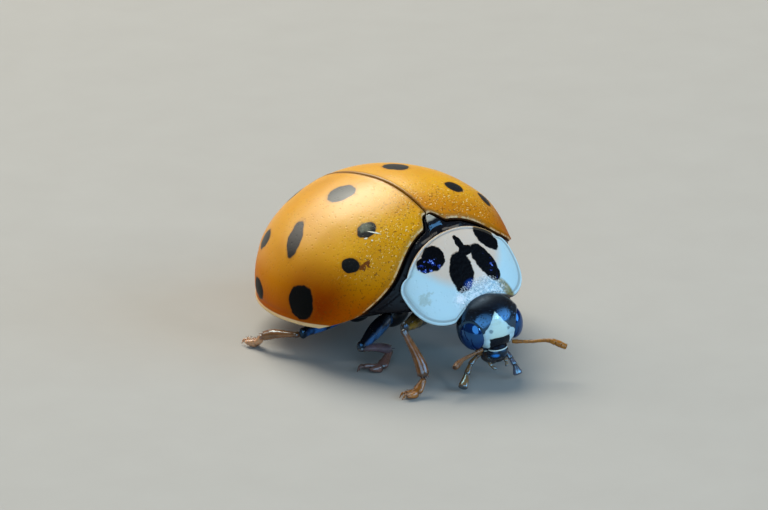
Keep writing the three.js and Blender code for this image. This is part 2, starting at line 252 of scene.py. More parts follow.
GAP = 0.03  # air between two neighbouring pieces
HALF_WIDTH = 2.9
REAR_LENGTH = 3.35
FRONT_REACH = 2.97  # where the outline would close in front, if it weren't cut off
DOME_HEIGHT = 2.56
DOME_FRONT_REACH = 2.8
BASE_EDGE = -2.06  # the front edge at the seam
BASE_NOTCH = 0.22  # the notch there, which takes the scutellum
NOTCH_SHARES = (0.02, 0.11)  # of the way from the seam to the rim
BASE_CORNER = 0.56  # how far the rounded corner at the rim falls back
CORNER_SHARE = 0.88  # where it starts
WALL = 0.12
RIM_BAND = 0.5
BAND_SHARES = (0.72, 0.97)  # of the way to the rim, where the wall broadens into the band
EDGE_ROUND = 0.05
HALF_GIRTH = 4.3  # from the seam over the shell to the rim
LAST_ROW = 89.5  # degrees along the shell, just short of the tip where the rows would meet
MERGE = 0.0004  # corners nearer than this become one
SLIVER = 0.0002
EDGES = ("rim", "base", "seam")
UNDERSIDE = -0.5  # what the layer "base" says on the inside of the shell


def layer(bm, name):
    """A number for each vert, which the materials read. It's got before any vert is made."""
    kept = bm.verts.layers.float
    return kept.get(name) or kept.new(name)


def axes_at(place, turn, home=Matrix.Identity(4)):
    """Axes at a place, turned by degrees about X, Y and Z, within other axes."""
    x, y, z = (radians(angle) for angle in turn)
    spin = Matrix.Rotation(x, 4, "X") @ Matrix.Rotation(y, 4, "Y") @ Matrix.Rotation(z, 4, "Z")
    return home @ Matrix.Translation(place) @ spin


def step(low, high, x):
    t = min(1, max(0, (x - low) / (high - low)))
    return t * t * (3 - 2 * t)


def bell(x, middle, width):
    return exp(-(((x - middle) / width) ** 2))


def blend(first, second, share):
    return first + (second - first) * share


def rounding(distance, radius):
    """How far a surface falls away at a distance from its rounded edge."""
    near = 1 - min(1, max(0, distance / radius))
    return radius * (1 - sqrt(max(0, 1 - near * near)))


def finish_piece(bm, name, axes, material, slot, *nodes):
    """Sets a shape down in its axes, in metres, as a piece that stands for the nodes given."""
    bmesh.ops.remove_doubles(bm, verts=bm.verts, dist=MERGE)
    bmesh.ops.dissolve_degenerate(bm, edges=bm.edges, dist=SLIVER)
    bmesh.ops.recalc_face_normals(bm, faces=bm.faces)
    bm.transform(Matrix.Scale(MM, 4) @ axes)
    mesh = bpy.data.meshes.new(name)
    bm.to_mesh(mesh)
    bm.free()
    mesh.shade_smooth()
    mesh.materials.append(material)
    piece = bpy.data.objects.new(name, mesh)
    scene.collection.objects.link(piece)
    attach(piece, "root")
    if nodes:
        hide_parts(*nodes)


def superpower(share, power):
    return max(0, 1 - abs(share) ** power) ** (1 / power)


def dome_width(y, depth=0):
    if y > 0:
        return (HALF_WIDTH - depth) * superpower(y / (REAR_LENGTH - depth), 2.2)
    return (HALF_WIDTH - depth) * superpower(y / FRONT_REACH, 2)


def dome_height(y, depth=0):
    if y > 0:
        return (DOME_HEIGHT - depth) * superpower(y / (REAR_LENGTH - depth), 2.2)
    return (DOME_HEIGHT - depth) * superpower(y / DOME_FRONT_REACH, 2.1)


def dome_point(turn, y, depth=0):
    """A place on the dome, by a turn from the seam (0) to the rim (90 degrees) and a length."""
    return Vector((dome_width(y, depth) * sin(turn), y, dome_height(y, depth) * cos(turn)))


def base_edge(turn):
    """The front edge of a wing case, for a turn from the seam. It bows ahead, then falls back."""
    share = abs(turn) / (pi / 2)
    notch = BASE_NOTCH * (1 - step(*NOTCH_SHARES, share))
    corner = BASE_CORNER * max(0, (share - CORNER_SHARE) / (1 - CORNER_SHARE)) ** 2.6
    return BASE_EDGE + notch - 1.05 * share**2 + 1.8 * share**4 + corner


def sheet(cells):
    """A flat block one cell thick. Its verts lie within +-0.5 across, and at 0 or 1 in height."""
    bm = bmesh.new()
    bmesh.ops.create_grid(bm, x_segments=cells[0], y_segments=cells[1], size=0.5)
    raised = bmesh.ops.extrude_face_region(bm, geom=bm.faces[:])["geom"]
    lifted = [v for v in raised if isinstance(v, bmesh.types.BMVert)]
    bmesh.ops.translate(bm, verts=lifted, vec=(0, 0, 1))
    return bm


def crowded(share, pull):
    """A share of the way, with more steps near both ends."""
    return blend(share, step(0, 1, share), pull)


def swelling(share, y, front):
    """Relief of a wing case: shoulder, rim bead and gutter, raised seam and the fold near the tip."""
    shoulder = 0.05 * bell(share, 0.62, 0.14) * bell(y, -1.3, 0.45)
    bead = 0.035 * bell(share, 1, 0.016) - 0.02 * bell(share, 0.955, 0.018)
    seam = 0.014 * bell(share, 0, 0.018)
    fold = 0.035 * bell(y, 2.72, 0.1) * step(0.05, 0.3, share) * (1 - step(0.55, 0.8, share))
    lip = 0.02 * bell(front, 0.05, 0.05)
    return shoulder + bead + seam + fold + lip


def wing_case(side):
    """One shell, with the distance from its three edges kept in the layers rim, base and seam."""
    bm = sheet((84, 110))
    for name in EDGES:
        layer(bm, name)
    rim, base, seam = (layer(bm, name) for name in EDGES)
    for v in bm.verts:
        share = crowded(v.co.x + 0.5, 0.8)
        turn = share * pi / 2
        along = sin(crowded(v.co.y + 0.5, 0.5) * radians(LAST_ROW))
        outside = v.co.z > 0.5
        inner = blend(WALL, RIM_BAND, step(*BAND_SHARES, share))
        front = base_edge(turn)
        y = blend(front, REAR_LENGTH - (0 if outside else inner), along)
        away = (y - front, share * HALF_GIRTH, (1 - share) * HALF_GIRTH)
        v[base], v[seam], v[rim] = away
        if outside:
            depth = sum(rounding(distance, EDGE_ROUND) for distance in away) - swelling(share, y, away[0])
        else:
            v[base], depth = UNDERSIDE, inner
        p = dome_point(turn, y, depth)
        v.co = (side * (p.x + GAP / 2), p.y, p.z)
    return bm


BODY = axes_at((0.15, 0.75, 1.4), (-5.8, -9.1, 0))

# The spots of one wing case: turn from the seam, length and slant, and half sizes across and along.
CASE_SPOTS = {
    "front inner": ((31, -1.28, 20), (0.24, 0.2)),
    "front outer": ((52.5, -1.38, 0), (0.18, 0.22)),
    "middle outer": ((77.5, -0.22, 0), (0.42, 0.4)),
    "middle": ((47, 0.5, -16), (0.46, 0.24)),
    "middle inner": ((17, 0.1, -20), (0.3, 0.36)),
    "rear inner": ((17, 2.2, 0), (0.28, 0.26)),
    "rear": ((51, 1.95, 0), (0.24, 0.3)),
    "rear outer": ((80, 1.75, 0), (0.24, 0.36)),
    "tip": ((46, 2.8, 0), (0.18, 0.2)),
}
SPOT_DEPTH = 0.7


def spot_axes(side, turn, y, slant):
    """Axes on the shell: X runs across it, Y along it, and Z straight out of it."""
    turn = side * radians(turn)
    middle = dome_point(turn, y)
    along = (dome_point(turn, y + 0.05) - dome_point(turn, y - 0.05)).normalized()
    across = (dome_point(turn + 0.02, y) - dome_point(turn - 0.02, y)).normalized()
    out = across.cross(along).normalized()
    along = out.cross(across)
    spin = Matrix((across, along, out)).transposed().to_4x4()
    return Matrix.Translation(middle) @ spin @ Matrix.Rotation(radians(side * slant), 4, "Z")


# Marks beside the front spots of the right case, in the same order.
SCRATCHES = [
    ((30.4, -1.46, -20), (0.02, 0.17)),
    ((35.5, -1.39, -43), (0.02, 0.05)),
    ((35, -1.53, -45), (0.02, 0.03)),
]
SCUFF = ((30, -1.22, 20), (0.2, 0.17))
SMEAR = ((49.6, -1.67, 0), (0.16, 0.13))
# tones of the front in painted light and shade: the right case lighter, the left darker, and both darker
# low down
FRONT_LIT_TONES = {"left": (0.46, 0.12, 0.001), "right": (0.66, 0.27, 0.001)}
FRONT_LOW_SHADE = (0.44, 0.085, 0.0004)


def case_finish(side, name):
    shell = Finish(
        f"spotted_shell_{name}", Roughness=0.37, IOR=1.6,
        Subsurface_Weight=0.1, Subsurface_Scale=0.25 * MM, Subsurface_Radius=(1, 0.4, 0.1),
    )
    place = shell.where(BODY)
    height, length = shell.part_of(place, "z"), shell.part_of(place, "y")
    rim, base, seam = (shell.stored(edge) for edge in EDGES)

    def oval(place, spot, radii):
        """Distance from a blot on the shell, where 1 is its edge."""
        at = spot_axes(side, *spot)
        return shell.reach(place, at.translation, (*radii, SPOT_DEPTH), at.to_euler())

    # deep red-orange low on the sides, golden above, and more yellow towards the front: partly the shell's
    # own orange, and partly painted light and shade, which is darker low down and lighter on the front of
    # the right case than of the left
    shell.paint(shell.mix((height, -0.2, 2), (0.51, 0.088, 0.0003), (0.74, 0.33, 0.003)))
    # painted shade low on the sides, towards the front
    low = shell.times((rim, 2.1, 0.6), (length, 1, -0.5))
    shell.coat(low, (0.25, 0.02, 0.0003), 0.9)
    front = shell.mix((height, 0.3, 1.3), FRONT_LOW_SHADE, FRONT_LIT_TONES[name])
    shell.coat((base, 1, 0.15), front, 0.75)
    shell.coat((shell.noise(place, 0.9, 2), 0.45, 0.75), (0.48, 0.15, 0.002), 0.3)

    # fine pits, and flecks that crowd towards the front edge; the pale flecks high on the shell are dust
    # with painted glints
    pits = shell.cells(place, 9)
    shell.coat((pits, 0.26, 0.1), (0.34, 0.1, 0.004), 0.3)
    crowd = shell.step(base, 1.6, 0.3)
    flecks = shell.step(shell.noise(place, 16, 3), 0.57, 0.66)
    shell.coat(shell.times(flecks, crowd), (0.16, 0.05, 0.004), 0.7)
    streaked = shell.add("Mapping", place, None, (0, 0, radians(-35 * side)), (1, 1.9, 1.4))
    dust_and_glints = shell.step(shell.noise(streaked, 15, 2), 0.62, 0.7)
    dust_and_glints = shell.times(dust_and_glints, (height, 0.9, 1.5), crowd)
    shell.coat(dust_and_glints, (0.95, 0.74, 0.34), 0.75)

    # a pale rim, a brown line along the seam, painted shade as a brown line inside the front edge, and on
    # the front edge a pale line that is partly its own rim and partly painted glints
    shell.coat((seam, 0.1, 0.015), (0.16, 0.055, 0.006), 0.75)
    # breaks the pale front edge into painted glints
    broken_glints = shell.step(shell.noise(place, 7, 2), 0.35, 0.65)
    shell.coat((base, 0.12, 0.05), (0.24, 0.09, 0.008), 0.35)
    shell.coat(shell.times((base, 0.025, 0.01), broken_glints), (0.68, 0.42, 0.2))
    shell.coat((base, 0, -0.05), (0.05, 0.016, 0.004))
    shell.coat((rim, 0.18, 0.1), (0.34, 0.08, 0.004), 0.5)
    shell.coat((rim, 0.11, 0.085), (0.74, 0.5, 0.25))

    # black spots with slightly ragged edges, in a narrow darker ring
    moved = shell.astray(place, 3, 0.5, (0.16, 0.16, 0.16))
    nearest = shell.nearest(oval(moved, *spot) for spot in CASE_SPOTS.values())
    shell.coat((nearest, 1.35, 1), (0.3, 0.08, 0.003), 0.35)
    shell.coat((nearest, 1.08, 0.96), (0.005, 0.005, 0.005))

    if side < 0:
        torn = shell.math("MULTIPLY_ADD", shell.noise(place, 9, 4), 3.4, oval(place, *SMEAR))
        shell.coat((torn, 2.5, 2.25), (0.13, 0.022, 0.002), 0.9)
        scuff = shell.math("MULTIPLY_ADD", shell.noise(place, 13, 3), 1.5, oval(place, *SCUFF))
        shell.coat((scuff, 1.7, 1.2), (0.15, 0.15, 0.095), 0.7)
        scratch = shell.step(shell.nearest(oval(place, *mark) for mark in SCRATCHES), 1.1, 0.6)
        shell.coat(scratch, (0.85, 0.8, 0.62))
        shell.carve(scratch, 0.02)
    waxy = shell.add("MapRange", height, 0.8, 2, 0.015, 0.5, interpolation_type="SMOOTHSTEP")
    shell.give(Specular_IOR_Level=shell.times(waxy, shell.add("MapRange", base, 0.2, 1.6, 0.3, 1)))

    shell.carve((pits, 0.05, 0.32), 0.007, 0.5)
    shell.carve(dust_and_glints, 0.01, 0.5)
    shell.carve(shell.noise(place, 1.4, 1), 0.03, 0.5)
    shell.carve(shell.noise(place, 22, 2), 0.004, 0.35)
    return shell.material


SIDES = (("left", 1), ("right", -1))
for side_name, side in SIDES:
    finish_piece(
        wing_case(side), f"wing_case_{side_name}", BODY,
        case_finish(side, side_name), "wing_case", f"elytron_{side_name}",
    )

# ------------------------ the neck shield
# One arched plate over the neck, cream white behind, with bluish light painted on its lobes, and with
# black blots in the middle. Its edge is a fine raised bead, and the head stands in the bay at its front.
# Tiny bright hairs frost the plate there.

NECK = axes_at((0, -2.37, 1.61), (42.8, -1.7, -2), BODY)
SHIELD_SPAN = 1.83
SHIELD_ARCH = 1.05
SHIELD_SWEEP = 61
SHIELD_LENGTH = 1.95
SHIELD_DROP = 0.45
SHIELD_THICK = 0.5
SHIELD_MIDDLE = 0.9  # how far ahead of its rear edge the rings of its surface start
SHIELD_RADIUS = 1.2  # about how far it is from there to the edge
REAR_TURN = 40  # degrees round that middle where the rear edge, the side and the front corner end
SIDE_TURN = 75
FRONT_TURN = 140
HIND_CORNER = 0.78
FRONT_CORNER = 0.46
SIDE_BULGE = 0.83
FRONT_BAY = 0.19
CORNER_ACROSS = 1.25
CORNER_AHEAD = 0.92


def shield_rear(u):
    """The bowed rear edge."""
    return 0.75 * u**2 + 0.19 * u**4


def shield_outline(turn):
    """The shield's outline as a share across and a length forward, by a turn in degrees."""
    a = abs(turn)
    sign = -1 if turn < 0 else 1
    if a < REAR_TURN:
        u = a / REAR_TURN * HIND_CORNER
        return sign * u, shield_rear(u)
    if a < SIDE_TURN:
        q = radians((a - REAR_TURN) / (SIDE_TURN - REAR_TURN) * 90)
        back = shield_rear(HIND_CORNER)
        return sign * blend(HIND_CORNER, 1, sin(q)), blend(back, SIDE_BULGE, 1 - cos(q))
    if a < FRONT_TURN:
        q = radians((a - SIDE_TURN) / (FRONT_TURN - SIDE_TURN) * 90)
        u = blend(FRONT_CORNER, 1, max(0, cos(q)) ** CORNER_ACROSS)
        return sign * u, blend(SIDE_BULGE, SHIELD_LENGTH, sin(q) ** CORNER_AHEAD)
    u = (180 - a) / (180 - FRONT_TURN) * FRONT_CORNER
    return sign * u, SHIELD_LENGTH - FRONT_BAY * (1 - (u / FRONT_CORNER) ** 2)


def shield_point(u, forward, depth):
    """A place on the arched plate, by a share across, a length forward and a depth in it."""
    turn = u * radians(SHIELD_SWEEP)
    arch = -SHIELD_ARCH + (SHIELD_ARCH - depth) * cos(turn)
    drop = SHIELD_DROP * (forward / SHIELD_LENGTH) ** 2
    return Vector(((SHIELD_SPAN - depth) * sin(turn), -forward, arch - drop))


def ball(bm, radii=(1, 1, 1), axes=Matrix.Identity(4), sides=48, rings=32):
    """An ellipsoid in axes of its own."""
    size = {"u_segments": sides, "v_segments": rings, "radius": 1}
    return bmesh.ops.create_uvsphere(bm, matrix=axes @ Matrix.Diagonal((*radii, 1)), **size)["verts"]


def shield():
    bm = bmesh.new()
    edge = layer(bm, "edge")
    for v in ball(bm, sides=144, rings=72):
        r = min(1, hypot(v.co.x, v.co.y))
        share = r**1.5
        u, forward = shield_outline(degrees(atan2(v.co.x, v.co.y)))
        away = (1 - share) * SHIELD_RADIUS
        v[edge] = away if v.co.z > -0.001 else -1
        bead = 0.02 * bell(away, 0.035, 0.025) - 0.016 * bell(away, 0.095, 0.03)
        under = SHIELD_THICK * (1 - r**8) + EDGE_ROUND
        depth = rounding(away, EDGE_ROUND) - bead if v.co.z > 0 else under
        v.co = shield_point(u * share, blend(SHIELD_MIDDLE, forward, share), depth)
    return bm


# Black blots: place across and forward, half sizes, and the turn of the long side.
SHIELD_BLOTS = {
    "right rear": (-0.61, 0.46, 0.3, 0.26, -70),
    "right rear tail": (-0.8, 0.53, 0.25, 0.2, 24),
    "right middle": (-0.17, 1.03, 0.48, 0.29, 116),
    "left middle": (0.54, 1.04, 0.49, 0.25, 79),
    "junction": (0.2, 0.62, 0.19, 0.12, 0),
    "spike": (0.165, 0.46, 0.27, 0.09, 86),
    "left rear": (0.96, 0.5, 0.36, 0.25, -112),
}
BLOT_MELT = 0.12
THROUGH = 9  # a blot's reach into a piece, which takes in all its depth


def shield_finish():
    plate = Finish(
        "cream_plate", Roughness=0.26, IOR=1.5,
        Subsurface_Weight=0.2, Subsurface_Scale=0.2 * MM, Subsurface_Radius=(1, 0.8, 0.6),
    )
    place = plate.where(NECK)
    edge = plate.stored("edge")

    def blot(across, ahead, half_wide, half_long, turn=0, place=place):
        """Distance from a blot on the plate, where 1 is its edge."""
        spin = (0, 0, radians(turn))
        return plate.reach(place, (across, -ahead, 0), (half_wide, half_long, THROUGH), spin)

    # cream in the middle and behind, with a painted bluish light on the lobes and along the front, and an
    # olive patch and a faint stain
    middle = blot(0.13, 0.05, 1.25, 1.45)
    plate.paint(plate.mix((middle, 0.84, 1.08), (0.69, 0.49, 0.36), (0.46, 0.64, 0.69)))
    plate.coat(plate.noise(place, 2.2, 3), (0.56, 0.6, 0.58), 0.25)
    plate.coat((blot(0.74, 1.74, 0.27, 0.12, -67), 1.35, 0.7), (0.19, 0.135, 0.01), 0.95)
    stain = plate.noise(place, 8, 4, 0.7)
    stain = plate.math("MULTIPLY_ADD", stain, 3, blot(-1.22, 1.16, 0.2, 0.15))
    plate.coat((stain, 2.4, 1.9), (0.24, 0.26, 0.15), 0.4)

    # frosting of tiny bright grains along the front, partly pale grains and partly painted glints, with
    # painted shade between them
    patch = blot(0.05, 1.62, 0.72, 0.3, -4)
    grains = plate.noise(place, 17, 3)
    frost_and_glints = plate.times((grains, 0.46, 0.6), (patch, 1.2, 0.7))
    shade = plate.times((grains, 0.5, 0.38), (patch, 1.2, 0.8))
    plate.coat(frost_and_glints, (0.94, 0.96, 0.98), 0.75)
    plate.coat(shade, (0.16, 0.26, 0.34), 0.6)

    # the black blots, which run together, with a painted blue sheen and painted glints of light
    moved = plate.astray(place, 5, 0.6, (0.13, 0.13, 0))
    blots = [blot(*sizes, -turn, moved) for *sizes, turn in SHIELD_BLOTS.values()]
    black = plate.step(plate.nearest(blots, BLOT_MELT), 1.07, 0.97)
    sheen = plate.step(blot(-0.12, 1.38, 0.17, 0.12), 1.3, 0.4)
    ink_and_sheen = plate.mix(sheen, (0.003, 0.003, 0.004), (0.004, 0.045, 0.25))
    sparkle = plate.noise(place, 13, 3)
    glint_area = plate.nearest([blot(-0.8, 0.58, 0.3, 0.22, -30), blot(0.68, 1.2, 0.16, 0.42)])
    glint_area = plate.step(glint_area, 1.1, 0.6)
    ink_and_sheen = plate.mix(plate.times((sparkle, 0.55, 0.64), glint_area), ink_and_sheen, (0.02, 0.05, 0.34))
    ink_and_sheen = plate.mix(plate.times((sparkle, 0.64, 0.68), glint_area), ink_and_sheen, (0.35, 0.5, 0.95))
    plate.coat(black, ink_and_sheen)
    # a painted white highlight on the right lobe
    highlight_spot = plate.math("MULTIPLY_ADD", grains, 2.6, blot(-0.53, 1.56, 0.12, 0.1))
    plate.coat((highlight_spot, 2.3, 1.9), (0.97, 0.97, 1))

    # a brown bead along the edge, painted shade in the groove inside it, and painted shade on the very
    # edge and the underside
    groove = plate.times((edge, 0.05, 0.07), (edge, 0.12, 0.09))
    plate.coat(groove, (0.12, 0.08, 0.05), 0.45)
    bead = plate.times((edge, 0.06, 0.04), (middle, 1.3, 1))
    plate.coat(bead, (0.52, 0.3, 0.13), 0.7)
    plate.coat((edge, 0.02, 0), (0.1, 0.07, 0.06))

    plate.give(Specular_IOR_Level=plate.math("MULTIPLY_ADD", black, -0.48, 0.5))
    plate.carve((plate.cells(place, 10), 0.08, 0.35), 0.007, 0.6)
    plate.carve(plate.times(plate.noise(place, 14, 2), black), 0.03, 0.8)
    plate.carve(frost_and_glints, 0.02, 0.6)
    plate.carve(plate.noise(place, 1.8, 2), 0.02, 0.5)
    return plate.material


finish_piece(shield(), "neck_shield", NECK, shield_finish(), "neck_shield", "pronotum")

HAIR_THICK = 0.005
HAIR_PATCH = 0.003  # size of a hair's own patch of the UV map
BLOOM = (0.03, 1.62, 0.68, 0.33)  # the frosted zone: its middle across and ahead, and half sizes
BLOOM_HAIRS = 900
BLOOM_LENGTHS = (0.03, 0.07)
SUNK = 0.46  # share of a hair's length from its root to its middle, so that the root is sunk in


def hair(bm, root, way, length, patch):
    """A fine three-sided hair. Its UV patch lies where its root is on the unrolled shell."""
    uv = bm.loops.layers.uv.get("OFBake") or bm.loops.layers.uv.new("OFBake")
    spin = way.to_track_quat("Z", "Y").to_matrix().to_4x4()
    middle = Matrix.Translation(root + way.normalized() * length * SUNK) @ spin
    size = {"segments": 3, "radius1": HAIR_THICK, "radius2": 0, "depth": length}
    made = bmesh.ops.create_cone(bm, cap_ends=True, matrix=middle, **size)["verts"]
    for face in {face for v in made for face in v.link_faces}:
        for loop, corner in zip(face.loops, ((0, 0), (1, 0), (0, 1))):
            loop[uv].uv = [p + c * HAIR_PATCH for p, c in zip(patch, corner)]


random.seed(7)
bloom = bmesh.new()
while len(bloom.faces) < BLOOM_HAIRS * 4:
    a, b = random.uniform(-1, 1), random.uniform(-1, 1)
    across, ahead = BLOOM[0] + a * BLOOM[2], BLOOM[1] + b * BLOOM[3]
    u = asin(across / SHIELD_SPAN) / radians(SHIELD_SWEEP)
    bay = SHIELD_LENGTH - FRONT_BAY * (1 - min(1, abs(u) / FRONT_CORNER) ** 2)
    if a * a + b * b < 1 and ahead < bay - 0.03 and across < 0.6:
        root = shield_point(u, ahead, 0.004)
        way = Vector((random.uniform(-0.5, 0.5), -1, random.uniform(0.05, 0.5)))
        hair(bloom, root, way, random.uniform(*BLOOM_LENGTHS), (0.5 + across / 4, ahead / 2))
silver = Finish("silver_hair", Base_Color=(0.95, 0.97, 1), Roughness=0.25, IOR=1.55)
finish_piece(bloom, "hairs_on_shield", NECK, silver.material, "neck_shield")

# ------------------------ the scutellum
# A small black triangular plate between the roots of the wing cases, slightly domed, with its
# point in the seam's notch and its base under the collar's rear ridge.

SCUTELLUM_FRONT = -2.15
SCUTELLUM_TURN = 6
SCUTELLUM_DEPTHS = (0.02, 0.42)
SCUTELLUM_POINT = 0.22  # its width at the rear, as a share of that in front


def black_shell(name, axes, pits, depth, roughness=0.2, gloss=0.22, sheen=(1, 1, 1), ior=1.48):
    """Glossy black shell with fine pits and a fine net between them."""
    shell = Finish(name, Roughness=roughness, IOR=ior, Specular_IOR_Level=gloss, Specular_Tint=sheen)
    place = shell.where(axes)
    cloud = shell.noise(place, 2, 3)
    shell.paint(shell.mix(cloud, (0.003, 0.003, 0.005), (0.01, 0.009, 0.01)))
    shell.carve((shell.cells(place, pits), 0.06, 0.34), depth, 0.8)
    shell.carve(shell.noise(place, pits * 3, 2), depth * 0.4, 0.6)
    return shell


def scutellum():
    bm = sheet((40, 36))
    for v in bm.verts:
        across = crowded(v.co.x + 0.5, 0.7) * 2 - 1
        along = crowded(v.co.y + 0.5, 0.6)
        narrow = blend(1, SCUTELLUM_POINT, along**1.3)
        turn = radians(SCUTELLUM_TURN) * across * narrow
        rear = base_edge(radians(SCUTELLUM_TURN) * across * 0.3) - GAP
        y = blend(SCUTELLUM_FRONT, rear, along)
        away = (y - SCUTELLUM_FRONT, (rear - y) * 1.5, (1 - abs(across)) * narrow * 0.35)
        top = SCUTELLUM_DEPTHS[0] + sum(rounding(distance, EDGE_ROUND) for distance in away)
        dip = 0.02 * bell(across, 0, 0.4) * bell(along, 0.45, 0.3)
        front = 0.06 * step(0.3, 0.05, along)
        v.co = dome_point(turn, y, top + dip + front if v.co.z > 0.5 else SCUTELLUM_DEPTHS[1])
    return bm


tip_shell = black_shell("black_scutellum", BODY, 12, 0.006, 0.14, 0.8, (0.4, 0.7, 1))
# a pale patch near the point, partly its own pale tone and partly a painted highlight
pale_and_lit = tip_shell.step(tip_shell.part_of(tip_shell.where(BODY), "y"), -2.03, -1.98)
tip_shell.coat(pale_and_lit, (0.42, 0.36, 0.28), 0.9)
finish_piece(scutellum(), "root_plate", BODY, tip_shell.material, "black_shell", "scutellum")

# ------------------------ the thorax
# The black middle of the body. Above it is the ridged collar in front of the wing cases, and
# below it are the punctured chest plates that carry the middle and hind legs.

COLLAR_FRONT = -2.5
COLLAR_TURN = 80
COLLAR_DEPTHS = (0.08, 0.7)
RIDGE_PLACE = -2.225
KNOB_TURN = 19.6
WAIST = 0.3  # where the thorax ends and the abdomen starts
BELLY_DEPTH = 0.32  # the underside's bulge below the rim
CHEST_SPAN = (0.5, 2.2)  # where the trunk draws in towards the neck
CHEST_NARROWER = 0.4  # by these shares of its width and its depth below the rim
CHEST_SHALLOWER = 1
SEGMENTS = 5  # plates of the abdomen's underside
PLATE_STEP = 0.06  # how much deeper each plate ends than the next one starts
TRUNK_DEPTH = RIM_BAND + GAP
TRUNK_WALL = 0.06  # share of the rings that make the flat wall at each end


def collar():
    bm = sheet((120, 26))
    ridge = layer(bm, "ridge")
    for v in bm.verts:
        across = v.co.x * 2
        along = crowded(v.co.y + 0.5, 0.6)
        turn = radians(COLLAR_TURN) * across
        rear = base_edge(turn) - GAP
        y = blend(COLLAR_FRONT, rear, along)
        angle = abs(degrees(turn))
        raised = bell(y, RIDGE_PLACE, 0.028) * step(1.5, 3, angle) * step(21, 16, angle)
        knob = bell(angle, KNOB_TURN, 2.2) * bell(y, -2.2, 0.05)
        relief = 0.045 * raised - 0.05 * bell(rear - y, 0.12, 0.05) + 0.07 * knob
        v[ridge] = raised if v.co.z > 0.5 else 0
        away = (y - COLLAR_FRONT, rear - y, (1 - abs(across)) * 3)
        top = COLLAR_DEPTHS[0] + sum(rounding(distance, EDGE_ROUND) for distance in away) - relief
        v.co = dome_point(turn, y, top if v.co.z > 0.5 else COLLAR_DEPTHS[1])
    return bm


def plate_part(y):
    """How far along its own plate of the abdomen a place is, from 0 to 1."""
    return (y - WAIST) / (REAR_LENGTH - WAIST) * SEGMENTS % 1


def belly_depth(y):
    fall = superpower(y / REAR_LENGTH if y > 0 else y / FRONT_REACH, 2.4)
    stepped = PLATE_STEP * plate_part(y) if y > WAIST else 0
    return (BELLY_DEPTH - stepped) * fall


def trunk(bm, start, end, rings, relief):
    """A closed trunk between two places: the dome above, the belly below, a wall at each end."""
    for v in ball(bm, sides=96, rings=rings):
        t = acos(max(-1, min(1, v.co.z))) / pi
        ring = min(1, t / TRUNK_WALL, (1 - t) / TRUNK_WALL)
        y = blend(start, end, min(1, max(0, (t - TRUNK_WALL) / (1 - 2 * TRUNK_WALL))))
        turn = atan2(v.co.x, v.co.y)
        near = step(*CHEST_SPAN, -y)
        wide = dome_width(y, TRUNK_DEPTH) * (1 - CHEST_NARROWER * near)
        across = sin(turn)
        if cos(turn) > 0:
            high = dome_height(y, TRUNK_DEPTH)
        else:
            high = belly_depth(y) * (1 - CHEST_SHALLOWER * near) + relief(abs(across) * ring * wide, y)
        v.co = (ring * wide * across, y, ring * high * cos(turn))


def chest_relief(x, y):
    """The chest plates: a groove along the middle, one across, and a swelling round each hip."""
    groove = -0.03 * bell(x, 0, 0.04) * step(-1, -0.7, y)
    across = -0.03 * bell(y, -0.72 - 0.12 * x, 0.04)
    hips = 0.05 * bell(x, 0.6, 0.35) * bell(y, -0.35, 0.35)
    return groove + across + hips


thorax = collar()
trunk(thorax, COLLAR_FRONT + 0.05, WAIST - GAP, 96, chest_relief)
chest_finish = black_shell("black_chest", BODY, 9, 0.014, 0.24, 0.1)
# the ridge is brown, partly its own colour and partly a painted highlight
brown_and_lit_ridge = chest_finish.step(chest_finish.stored("ridge"), 0.4, 0.9)
chest_finish.coat(brown_and_lit_ridge, (0.22, 0.16, 0.12), 0.7)
finish_piece(thorax, "chest", BODY, chest_finish.material, "black_shell", "thorax")

# ------------------------ the prothorax
# The rounded black chest under the neck shield. It carries the head and the front legs, with a
# keel between the front hips.

CHEST_RADII = (0.95, 0.8, 0.62)
CHEST_AXES = axes_at((0, -2.5, 0.35), (25, 0, 0), BODY)


prothorax = bmesh.new()
for v in ball(prothorax, CHEST_RADII, sides=96, rings=64):
    x, y, z = v.co
    keel = 0.05 * bell(x, 0, 0.1) * step(0.1, -0.2, y) * step(0.1, -0.3, z)
    waist = 0.04 * bell(y, 0.45, 0.07)
    v.co *= 1 + keel - waist
tint = black_shell("black_prothorax", CHEST_AXES, 10, 0.012, 0.24, 0.1).material
finish_piece(prothorax, "fore_chest", CHEST_AXES, tint, "black_shell", "prothorax")

# ------------------------ the abdomen
# The belly of five overlapping plates, dark in the middle and amber along the sides, as this
# orange form has it. Its upper side is hidden by the wing cases.

ABDOMEN_END = REAR_LENGTH - TRUNK_DEPTH - GAP


def plate_relief(x, y):
    """A soft swelling along each plate, and the line that lies behind the hips."""
    line = -0.02 * bell(y, WAIST + 0.42 - 0.3 * (x - 0.9) ** 2, 0.03) * step(2, 1.6, x)
    return 0.02 * sin(plate_part(y) * pi) + line


abdomen = bmesh.new()
trunk(abdomen, WAIST, ABDOMEN_END, 150, plate_relief)
skin = Finish("belly_skin", Roughness=0.32, IOR=1.5, Subsurface_Weight=0.1, Subsurface_Scale=0.2 * MM)
place = skin.where(BODY)
middle = skin.reach(place, (0, 1, 0), (1.75, 2.1, THROUGH))
ragged = skin.math("MULTIPLY_ADD", skin.noise(place, 2.5, 3), 0.35, middle)
skin.paint(skin.mix((ragged, 0.95, 1.35), (0.022, 0.014, 0.01), (0.42, 0.16, 0.03)))
skin.carve((skin.cells(place, 11), 0.06, 0.34), 0.01, 0.7)
finish_piece(abdomen, "belly", BODY, skin.material, "belly", "abdomen")

# ------------------------ the head
# A round black capsule with a white blaze between the eyes. The black bar of the clypeus
# crosses its lower front, and the sockets of the feelers are beside that.

